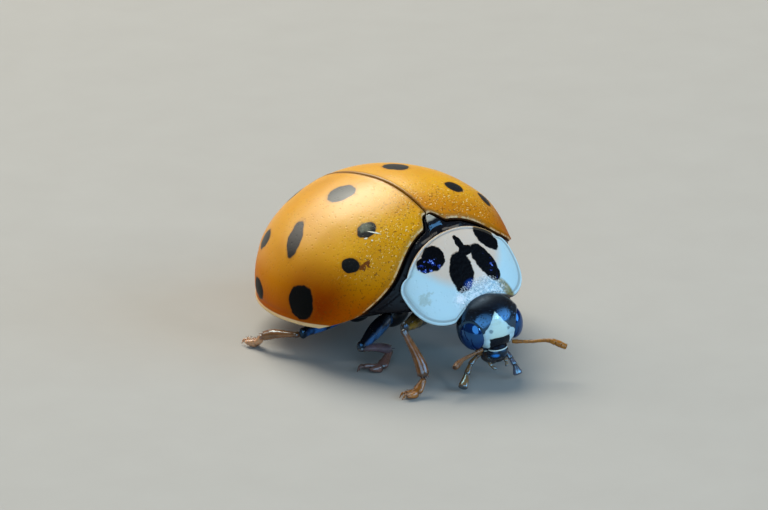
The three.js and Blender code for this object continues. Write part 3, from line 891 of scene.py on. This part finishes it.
HEAD = axes_at((-0.08, -3.48, -0.45), (8, 4, -9), BODY)
HEAD_RADII = (0.79, 0.58, 0.68)
EYE_RADII = (0.24, 0.31, 0.38)
EYE_PLACE = (0.54, -0.19, -0.06)
EYE_TURN = (-8, 0, -35)
BLUE_SHEEN = (0.22, 0.55, 1)
FRONS_PITS = [(-0.27, 0.06), (0.19, 0.04)]  # two grey dents on the blaze: across and up


def eye_axes(side, home=Matrix.Identity(4)):
    x, y, z = EYE_PLACE
    return axes_at((x * side, y, z), (EYE_TURN[0], 0, EYE_TURN[2] * side), home)


def head_capsule():
    bm = bmesh.new()
    for v in ball(bm, HEAD_RADII, sides=144, rings=108):
        x, y, z = v.co
        front = step(0, -0.3, y)
        clypeus = 0.03 * bell(z, -0.33, 0.12) * step(0.42, 0.3, abs(x + 0.02))
        brow = -0.02 * bell(z, -0.16, 0.03) * step(0.45, 0.3, abs(x))
        lip = -0.03 * bell(z, -0.48, 0.03) * step(0.45, 0.35, abs(x))
        sockets = -0.05 * bell(abs(x), 0.4, 0.07) * bell(z, -0.38, 0.07)
        frons = 0.015 * bell(x, 0, 0.2) * bell(z, 0.15, 0.2)
        rims = 0
        for _, side in SIDES:
            away = eye_axes(side).inverted() @ v.co
            near = sqrt(sum((a / r) ** 2 for a, r in zip(away, EYE_RADII)))
            rims += 0.016 * bell(near, 1.12, 0.07) - 0.03 * bell(near, 1, 0.05)
        v.co *= 1 + front * (clypeus + brow + lip + sockets + frons) + rims
    return bm


def head_finish():
    shell = black_shell("black_head", HEAD, 16, 0.006, 0.16, 1, BLUE_SHEEN, 1.75)
    place = shell.where(HEAD)
    moved = shell.astray(place, 6, 0.6, (0.08, 0, 0.08))
    x, z = shell.part_of(moved, "x"), shell.part_of(moved, "z")

    # the white blaze is a tall diamond over an oval, with the black bar left out, and below the bar
    # is a fine white line
    side = shell.math("DIVIDE", shell.off(x, -0.08), 0.36)
    tall = shell.math("DIVIDE", shell.off(z, 0), 0.47)
    blaze = shell.step(shell.math("ADD", side, tall), 1.05, 0.97)
    cheeks = shell.step(shell.reach(moved, (-0.05, 0, -0.17), (0.48, THROUGH, 0.26)), 1.04, 0.97)
    bar = shell.step(shell.off(x, -0.02), 0.275, 0.25)
    bar = shell.times(bar, (shell.off(z, -0.325), 0.19, 0.17))
    line = shell.step(shell.off(z, -0.535), 0.035, 0.02)
    line = shell.times(line, (shell.off(x, 0), 0.34, 0.3))
    white = shell.math("SUBTRACT", shell.math("MAXIMUM", blaze, cheeks), bar)
    ahead = shell.step(shell.part_of(place, "y"), -0.1, -0.2)
    white = shell.times(shell.math("MAXIMUM", white, line), ahead)

    # the blaze's cream white is tinted by painted bluish light, bluer at its sides
    sides = shell.step(shell.off(x, -0.05), 0.12, 0.34)
    pale_and_lit = shell.mix(sides, (0.56, 0.71, 0.64), (0.42, 0.58, 0.62))
    for across, up in FRONS_PITS:
        pit = shell.step(shell.reach(moved, (across, 0, up), (0.05, THROUGH, 0.045)), 1.3, 0.5)
        pale_and_lit = shell.mix(shell.times(pit, 0.75), pale_and_lit, (0.1, 0.15, 0.17))
    shell.coat(white, pale_and_lit)

    # the crown and the bar are duller than the rest
    crown = shell.add("MapRange", z, 0.3, 0.5, 1, 0.15)
    shell.give(
        Specular_IOR_Level=shell.times(crown, shell.math("MULTIPLY_ADD", bar, -0.85, 1)),
        Roughness=shell.add("MapRange", z, 0.46, 0.6, 0.16, 0.45),
    )
    return shell.material


finish_piece(head_capsule(), "head_capsule", HEAD, head_finish(), "black_shell", "head")

# ------------------------ the eyes
# Two tall oval eyes of many fine facets, blue-black and very glossy. They are set into the
# sides of the head.

for side_name, side in SIDES:
    eye = bmesh.new()
    ball(eye, EYE_RADII, sides=64, rings=48)
    axes = eye_axes(side, HEAD)
    lens_skin = Finish(
        f"facets_{side_name}", Roughness=0.08, IOR=1.85,
        Specular_IOR_Level=1, Specular_Tint=(0.14, 0.48, 1),
    )
    place = lens_skin.where(axes)
    cloud = lens_skin.noise(place, 5)
    lens_skin.paint(lens_skin.mix(cloud, (0.0005, 0.003, 0.022), (0.0005, 0.012, 0.1)))
    lens_skin.carve(lens_skin.cells(place, 34, "DISTANCE_TO_EDGE"), 0.006, 0.12)
    finish_piece(eye, f"faceted_eye_{side_name}", axes, lens_skin.material, "eye", f"eye_{side_name}")

# ------------------------ the mouth
# Under the clypeus: the notched upper lip, the tips of two jaws, and the lower lip with its two
# short feelers of three joints.

LABRUM_RADII = (0.27, 0.2, 0.24)
LABRUM_PLACE = Vector((0, -0.36, -0.56))
MANDIBLE_RADII = (0.16, 0.2, 0.2)
MANDIBLE_PLACE = Vector((0.17, -0.2, -0.74))
LABIUM_RADII = (0.3, 0.25, 0.2)
LABIUM_PLACE = (0, 0.08, -0.68)
LIP_FEELER = [(0.13, -0.15, -0.78), (0.2, -0.3, -0.84), (0.19, -0.42, -0.91), (0.13, -0.5, -0.95)]
LIP_FEELER_JOINTS = [((0, 0.3), 0.05), ((0.24, 0.7), 0.045), ((0.64, 1), 0.035)]
CURVE_STEPS = 17


class Route:
    """A smooth path through a few points, walked by a share of its length."""

    def __init__(self, points):
        points = [Vector(p) for p in points]
        ends = [points[0] * 2 - points[1], *points, points[-1] * 2 - points[-2]]
        self.stops = [points[0]]
        for before, start, end, after in zip(ends, ends[1:], ends[2:], ends[3:]):
            pull = (end - start).length
            lead = (end - before).normalized() * pull / 3
            trail = (after - start).normalized() * pull / 3
            self.stops += interpolate_bezier(start, start + lead, end - trail, end, CURVE_STEPS)[1:]
        steps = [(b - a).length for a, b in zip(self.stops, self.stops[1:])]
        self.length = sum(steps)
        self.marks = [sum(steps[:i]) / self.length for i in range(len(self.stops))]

    def at(self, share):
        share = min(1, max(0, share))
        last = len(self.marks) - 2
        i = next(i for i in range(last + 1) if share <= self.marks[i + 1] or i == last)
        part = (share - self.marks[i]) / (self.marks[i + 1] - self.marks[i])
        return self.stops[i].lerp(self.stops[i + 1], part)

    def frame(self, share):
        """The ways ahead, to the side and up at a share of the path."""
        ahead = (self.at(share + 0.02) - self.at(share - 0.02)).normalized()
        side = ahead.cross(Vector((0, 0, 1))).normalized()
        return ahead, side, side.cross(ahead)


def limb(bm, route, span, wide, deep=None, blunt=1, sides=24, rings=24):
    """A closed limb over a span of a route. wide and deep give half sizes by a share of it, and
    blunt is how long the round ends are, against the half width."""
    deep = deep or wide
    share, above = layer(bm, "share"), layer(bm, "above")
    long = (span[1] - span[0]) * route.length
    for v in ball(bm, sides=sides, rings=rings):
        t = acos(max(-1, min(1, v.co.z))) / pi
        t = blend(t, step(0, 1, t), 0.8)
        near = min(1, min(t, 1 - t) * long / (wide(t) * blunt))
        ease = sqrt(1 - (1 - near) ** 2)
        on = blend(*span, t)
        _, side, up = route.frame(on)
        turn = atan2(v.co.y, v.co.x)
        v[share], v[above] = t, sin(turn)
        v.co = route.at(on) + (side * wide(t) * cos(turn) + up * deep(t) * sin(turn)) * ease


def amber(name, axes, tones, roughness=0.28, gloss=0.5, sheen=(0.6, 0.85, 1), ior=1.5):
    """Amber shell, light in the middle of each joint and darker at its ends."""
    shell = Finish(
        name, Roughness=roughness, IOR=ior, Specular_IOR_Level=gloss, Specular_Tint=sheen,
        Subsurface_Weight=0.15, Subsurface_Scale=0.1 * MM, Subsurface_Radius=(1, 0.5, 0.15),
    )
    place = shell.where(axes)
    share = shell.stored("share")
    middle = shell.times((share, 0, 0.25), (share, 1, 0.85))
    shell.paint(shell.mix(shell.times(middle, shell.noise(place, 5), 1.6), *tones))
    shell.carve(shell.noise(place, 24, 2), 0.008, 0.5)
    return shell.material


PALP_SHEEN = (0.35, 0.75, 1)
JAW_TONES = ((0.03, 0.014, 0.008), (0.14, 0.06, 0.02))
LIP_TONES = ((0.03, 0.02, 0.012), (0.24, 0.14, 0.06))

labrum = bmesh.new()
for v in ball(labrum, LABRUM_RADII, sides=64, rings=48):
    notch = 0.08 * bell(v.co.x, 0, 0.07) * step(-0.1, -0.2, v.co.z)
    crease = 0.05 * bell(v.co.z, 0.07, 0.025)
    v.co = LABRUM_PLACE + v.co * (1 - notch - crease)
lip_skin = black_shell("black_lip", HEAD, 18, 0.006, 0.14, 1, BLUE_SHEEN)
place = lip_skin.where(HEAD)
height = lip_skin.part_of(place, "z")
# a painted blue glint on the upper lip
glint_area = lip_skin.step(lip_skin.reach(place, (-0.15, 0, -0.6), (0.08, THROUGH, 0.045)), 1.4, 0.4)
lip_skin.coat(glint_area, (0.02, 0.2, 0.62))
line = lip_skin.times((height, -0.5, -0.488), (height, -0.46, -0.472))
lip_skin.coat(line, (0.5, 0.58, 0.56))
lip_skin.give(Specular_IOR_Level=lip_skin.add("MapRange", height, -0.52, -0.48, 1, 0.08))
finish_piece(labrum, "upper_lip", HEAD, lip_skin.material, "black_shell", "labrum")

for side_name, side in SIDES:
    jaw = bmesh.new()
    for v in ball(jaw, MANDIBLE_RADII, sides=40, rings=28):
        x, y, z = v.co + MANDIBLE_PLACE
        v.co = (side * (x - 0.1 * step(0, -0.2, v.co.z)), y, z)
    tint = amber(f"jaw_amber_{side_name}", HEAD, JAW_TONES, 0.1, 1, PALP_SHEEN)
    finish_piece(jaw, f"jaw_{side_name}", HEAD, tint, "amber", f"mandible_{side_name}")

lower_lip = bmesh.new()
ball(lower_lip, LABIUM_RADII, Matrix.Translation(LABIUM_PLACE))
for _, side in SIDES:
    small = Route([(x * side, y, z) for x, y, z in LIP_FEELER])
    for span, thick in LIP_FEELER_JOINTS:
        swollen = lambda t: thick * (0.75 + 0.25 * sin(t * pi))
        limb(lower_lip, small, span, swollen, None, 0.7, 16, 12)
tint = amber("lip_amber", HEAD, LIP_TONES, 0.1, 1, PALP_SHEEN, 1.9)
finish_piece(lower_lip, "lower_lip", HEAD, tint, "black_shell", "labium")

# ------------------------ the feelers
# Eleven joints each: a stout first joint, a small second one, six slender ones and a club of
# three. The palps beside the mouth have four joints, and the last is shaped like an axe. Short
# fine hairs stand on all of them.

FEELERS = {
    "left": [(0.39, -0.37, -0.45), (0.72, -0.64, -0.44), (1.06, -0.92, -0.41), (1.34, -1.22, -0.54)],
    "right": [(-0.4, -0.35, -0.43), (-0.75, -0.45, -0.42), (-1.12, -0.6, -0.4), (-1.44, -0.79, -0.42)],
}
PALPS = {
    "left": [(0.27, -0.2, -0.63), (0.33, -0.38, -0.84), (0.36, -0.52, -1.01), (0.37, -0.62, -1.2)],
    "right": [(-0.29, -0.12, -0.62), (-0.64, -0.25, -0.72), (-0.88, -0.42, -0.86), (-1.16, -0.65, -1.08)],
}

# joints of a feeler: where each ends as a share of the length, and its half width at both ends
FEELER_JOINTS = [
    (0.12, 0.045, 0.052), (0.19, 0.042, 0.042), (0.31, 0.034, 0.038), (0.39, 0.035, 0.038),
    (0.47, 0.036, 0.039), (0.54, 0.037, 0.041), (0.61, 0.039, 0.044), (0.68, 0.041, 0.05),
    (0.79, 0.052, 0.07), (0.9, 0.07, 0.078), (1, 0.075, 0.06),
]
PALP_JOINTS = [(0.16, 0.05, 0.055), (0.42, 0.05, 0.065), (0.66, 0.052, 0.07), (1, 0.06, 0.115)]
# the right feeler's tones are darker than the left's: painted shade
FEELER_TONES = {
    "left": ((0.1, 0.03, 0.006), (0.42, 0.15, 0.01)),
    "right": ((0.06, 0.022, 0.008), (0.2, 0.08, 0.02)),
}
# the left palp's violet grey light tone is a painted reflection of the bluish lamps
PALP_TONES = {
    "left": ((0.05, 0.03, 0.02), (0.11, 0.09, 0.12)),
    "right": ((0.05, 0.03, 0.02), (0.2, 0.1, 0.03)),
}
JOINT_OVERLAP = 0.015  # share of the whole length that a joint is sunk into the one before


def jointed(bm, route, joints, flat=1):
    """A row of joints, each a little sunk into the one before it."""
    start = 0
    for end, near, far in joints:

        def wide(t):
            return blend(near, far, step(0, 0.85, t))

        span = (max(0, start - JOINT_OVERLAP), end)
        limb(bm, route, span, wide, lambda t: wide(t) * flat, 0.35, 20, 18)
        start = end


def taper(near, far):
    """Half sizes that change evenly from one end of a limb to the other."""
    return lambda t: blend(near, far, t)


def hairy(bm, route, span, wide, count, length, lean, deep=None):
    """Hairs all round a span of a limb, leaning outwards by a share as they point along it."""
    deep = deep or wide
    for _ in range(count):
        t, turn = random.uniform(0.04, 0.96), random.uniform(0, tau)
        on = blend(*span, t)
        ahead, side, up = route.frame(on)
        side, up = side * cos(turn), up * sin(turn)
        root = route.at(on) + (side * wide(t) + up * deep(t)) * 0.95
        patch = (on * 0.95, turn / tau * 0.95)
        hair(bm, root, ahead + (side + up) * lean, length * random.uniform(0.6, 1.1), patch)


def fine_hair(name):
    return Finish(name, Base_Color=(0.1, 0.05, 0.02), Roughness=0.3).material


routes = {name: (Route(FEELERS[name]), Route(PALPS[name])) for name, _ in SIDES}
for side_name, (feeler_route, palp_route) in routes.items():
    feeler = bmesh.new()
    jointed(feeler, feeler_route, FEELER_JOINTS)
    tint = amber(f"feeler_amber_{side_name}", HEAD, FEELER_TONES[side_name])
    finish_piece(feeler, f"feeler_{side_name}", HEAD, tint, "amber", f"antenna_{side_name}")
    palp = bmesh.new()
    jointed(palp, palp_route, PALP_JOINTS, 0.8)
    tint = amber(f"palp_amber_{side_name}", HEAD, PALP_TONES[side_name], 0.13, 1, PALP_SHEEN, 1.8)
    finish_piece(palp, f"jointed_palp_{side_name}", HEAD, tint, "amber", f"palp_{side_name}")

for side_name, (feeler_route, palp_route) in routes.items():
    fine = bmesh.new()
    hairy(fine, feeler_route, (0.2, 0.7), lambda t: 0.04, 50, 0.04, 0.7)
    hairy(fine, feeler_route, (0.7, 1), lambda t: 0.068, 80, 0.035, 0.6)
    hairy(fine, palp_route, (0.2, 0.98), taper(0.055, 0.085), 50, 0.05, 0.8)
    tint = fine_hair(f"fine_hair_{side_name}")
    finish_piece(fine, f"hairs_on_feelers_{side_name}", HEAD, tint, "amber")

# ------------------------ the legs
# Each leg has a round hip, a flattened thigh, a slender shin with three short spurs, and a foot of
# two broad padded joints, a slender claw joint and two claws. The pads rest flat on the floor, and
# short hairs stand all along the leg.

STANCE = axes_at((0.15, 0.75, 0), (0, 0, 0))
COXA = (0.4, 0.3, 0.3)

# hip on the body, and knee, ankle, sole and toe on the floor's axes
LEGS = {
    "front_right": (
        (-0.42, -2.12, -0.24),
        (-1.95, -2.77, 1.4), (-1.92, -3.52, 0.42), (-2.19, -3.53, 0.16), (-2.46, -3.44, 0.12),
    ),
    "middle_right": (
        (-0.75, -0.9, -0.42),
        (-2.25, -1.56, 0.62), (-1.3, -1.56, 0.36), (-1.8, -1.8, 0.16), (-2.16, -1.45, 0.12),
    ),
    "hind_right": (
        (-0.95, 0.15, -0.42),
        (-2.7, 0.05, 0.6), (-3, 1.05, 0.34), (-3.02, 1.27, 0.16), (-3.08, 1.56, 0.12),
    ),
    "front_left": (
        (0.42, -2.12, -0.24),
        (1.6, -2.4, 1.35), (1.5, -2.15, 0.42), (1.62, -2.1, 0.16), (1.85, -1.9, 0.12),
    ),
    "middle_left": (
        (0.75, -0.9, -0.42),
        (2.35, -1.1, 1.15), (2.6, -0.85, 0.4), (2.72, -0.75, 0.16), (2.95, -0.5, 0.12),
    ),
    "hind_left": (
        (0.95, 0.15, -0.42),
        (2.3, 0.95, 1.1), (2.55, 1.85, 0.4), (2.62, 2, 0.16), (2.8, 2.3, 0.12),
    ),
}

# dark and light tones of the thigh, the shin and the foot; the blue light tone of the middle and hind
# thighs, which goes on their undersides, and the violet of the middle shin are painted reflections
LEG_TONES = {
    "front": (
        ((0.03, 0.018, 0.006), (0.2, 0.11, 0.012)),
        ((0.035, 0.012, 0.005), (0.2, 0.065, 0.008)),
        ((0.08, 0.026, 0.005), (0.34, 0.115, 0.012)),
    ),
    "middle": (
        ((0.005, 0.005, 0.007), (0.035, 0.14, 0.36)),
        ((0.035, 0.022, 0.022), (0.13, 0.085, 0.1)),
        ((0.05, 0.022, 0.015), (0.17, 0.08, 0.06)),
    ),
    "hind": (
        ((0.005, 0.005, 0.007), (0.035, 0.16, 0.48)),
        ((0.08, 0.03, 0.01), (0.27, 0.1, 0.025)),
        ((0.26, 0.11, 0.05), (0.62, 0.3, 0.14)),
    ),
}
THIGH_FLAT = 0.72  # a thigh's width as a share of its depth
SHIN_FLAT = 0.8
PAD_HEIGHT = 0.11  # middle of the padded joints above the floor
CLAW_HEIGHT = 0.15
SPUR_TURNS = (0.6, 2.2, 3.8)  # radians round the end of the shin
DOWN = Vector((0, 0, -1))


def thigh(t):
    return 0.11 + 0.11 * sin(min(1, t * 1.1) * pi) + 0.03 * bell(t, 0.97, 0.08)


def shank(t):
    return 0.075 + 0.07 * step(0.05, 0.85, t) - 0.03 * step(0.88, 1, t) + 0.02 * bell(t, 0.03, 0.06)


def foot(bm, ankle, sole, toe):
    """Two broad joints, the second with two padded lobes, then the claw joint and its claws."""
    pad = Vector((sole.x, sole.y, PAD_HEIGHT))
    tip = blend(pad, Vector((toe.x, toe.y, CLAW_HEIGHT)), 0.8)
    first = Route([ankle, blend(ankle, pad, 0.55) + DOWN * 0.02, pad])
    limb(bm, first, (0, 1), lambda t: blend(0.075, 0.14, step(0.1, 0.9, t)), taper(0.075, 0.09), 0.9)
    ahead = Vector((toe.x - sole.x, toe.y - sole.y, 0)).normalized()
    side = ahead.cross(DOWN)
    for _, sign in SIDES:
        out = side * sign
        root = pad - ahead * 0.06 + out * 0.03
        lobe = Route([root, root + ahead * 0.16 + out * 0.04, root + ahead * 0.33 + out * 0.06])
        limb(bm, lobe, (0, 1), lambda t: 0.05 + 0.03 * sin(t * pi), taper(0.11, 0.044), 1.4)
    last = Route([pad + ahead * 0.02, blend(pad, tip, 0.5) - DOWN * 0.03, tip])
    limb(bm, last, (0, 1), taper(0.04, 0.062), None, 0.8, 20, 20)
    for _, sign in SIDES:
        out = side * sign
        root = tip - ahead * 0.03 + out * 0.03
        bent = root + ahead * 0.1 + out * 0.045
        claw = Route([root, bent, bent + ahead * 0.07 + DOWN * 0.12])
        limb(bm, claw, (0, 1), taper(0.03, 0.006), None, 1, 12, 16)
        tooth = Route([bent, bent + ahead * 0.01 + DOWN * 0.08])
        limb(bm, tooth, (0, 1), taper(0.02, 0.006), None, 1, 10, 8)
    for v in bm.verts:
        v.co.z = max(v.co.z, 0)


def leg(name, hip, knee, ankle, sole, toe):
    hip_on_floor = STANCE.inverted() @ BODY @ Vector(hip)
    knee, ankle, sole, toe = (Vector(p) for p in (knee, ankle, sole, toe))
    outward = 1 if hip[0] > 0 else -1
    thigh_tones, shin_tones, foot_tones = LEG_TONES[name.split("_")[0]]

    coxa = bmesh.new()
    ball(coxa, COXA)
    coxa_axes = axes_at(hip, (0, 20 * outward, 0), BODY)
    hip_black = black_shell(f"hip_black_{name}", coxa_axes, 12, 0.008, 0.22).material
    finish_piece(coxa, f"hip_{name}", coxa_axes, hip_black, "thigh", f"coxa_{name}")

    femur = bmesh.new()
    upper = Route([hip_on_floor, hip_on_floor.lerp(knee, 0.5) - DOWN * 0.04, knee])
    limb(femur, upper, (0.02, 1), lambda t: thigh(t) * THIGH_FLAT, thigh, 1, 40, 48)
    shell = black_shell(f"thigh_shell_{name}", STANCE, 12, 0.006, 0.14, 1, BLUE_SHEEN)
    # the light tone goes on the underside of the thigh, away from its joints; on the middle and hind
    # thighs it is a painted blue reflection
    under = shell.step(shell.stored("above"), 0.75, -0.1)
    joints = shell.step(shell.stored("share"), 0.95, 0.85)
    cloud = shell.step(shell.noise(shell.where(STANCE), 4, 2), 0.3, 0.6)
    shell.paint(shell.mix(shell.times(under, joints, cloud), *thigh_tones))
    finish_piece(femur, f"thigh_{name}", STANCE, shell.material, "thigh", f"femur_{name}")

    tibia = bmesh.new()
    bow = (ankle - knee).cross(ankle - sole).cross(ankle - knee).normalized() * 0.05
    lower = Route([knee, knee.lerp(ankle, 0.65) + bow, ankle])
    limb(tibia, lower, (0, 1), shank, lambda t: shank(t) * SHIN_FLAT, 0.8, 32, 40)
    for turn in SPUR_TURNS:
        _, side, up = lower.frame(0.93)
        root = lower.at(0.95) + (side * cos(turn) + up * sin(turn)) * 0.08
        spur = Route([root, root + (ankle - knee).normalized() * 0.09 + (root - lower.at(0.95)) * 0.3])
        limb(tibia, spur, (0, 1), taper(0.014, 0.005), None, 1, 8, 8)
    tint = amber(f"shin_amber_{name}", STANCE, shin_tones, 0.15, 1)
    finish_piece(tibia, f"shin_{name}", STANCE, tint, "shin", f"tibia_{name}")

    tarsus = bmesh.new()
    foot(tarsus, ankle, sole, toe)
    tint = amber(f"foot_amber_{name}", STANCE, foot_tones, 0.18, 0.8)
    finish_piece(tarsus, f"foot_{name}", STANCE, tint, "shin", f"tarsus_{name}")

    hairs = bmesh.new()
    hairy(hairs, upper, (0.3, 0.95), lambda t: thigh(t) * THIGH_FLAT, 50, 0.06, 0.5, thigh)
    hairy(hairs, lower, (0, 1), shank, 150, 0.075, 0.5, lambda t: shank(t) * SHIN_FLAT)
    pad = Vector((sole.x, sole.y, 0.13))
    ahead = Vector((toe.x - sole.x, toe.y - sole.y, 0)).normalized()
    first = Route([ankle, ankle.lerp(pad, 0.55), pad])
    last = Route([pad, pad + ahead * 0.12, pad + ahead * 0.25])
    hairy(hairs, first, (0, 1), taper(0.06, 0.12), 60, 0.06, 0.6)
    hairy(hairs, last, (0, 1), lambda t: 0.1, 60, 0.05, 0.5)
    for v in hairs.verts:
        v.co.z = max(v.co.z, 0.001)
    finish_piece(hairs, f"hairs_on_{name}", STANCE, fine_hair(f"leg_hair_{name}"), "shin")


for leg_name, stops in LEGS.items():
    leg(leg_name, *stops)
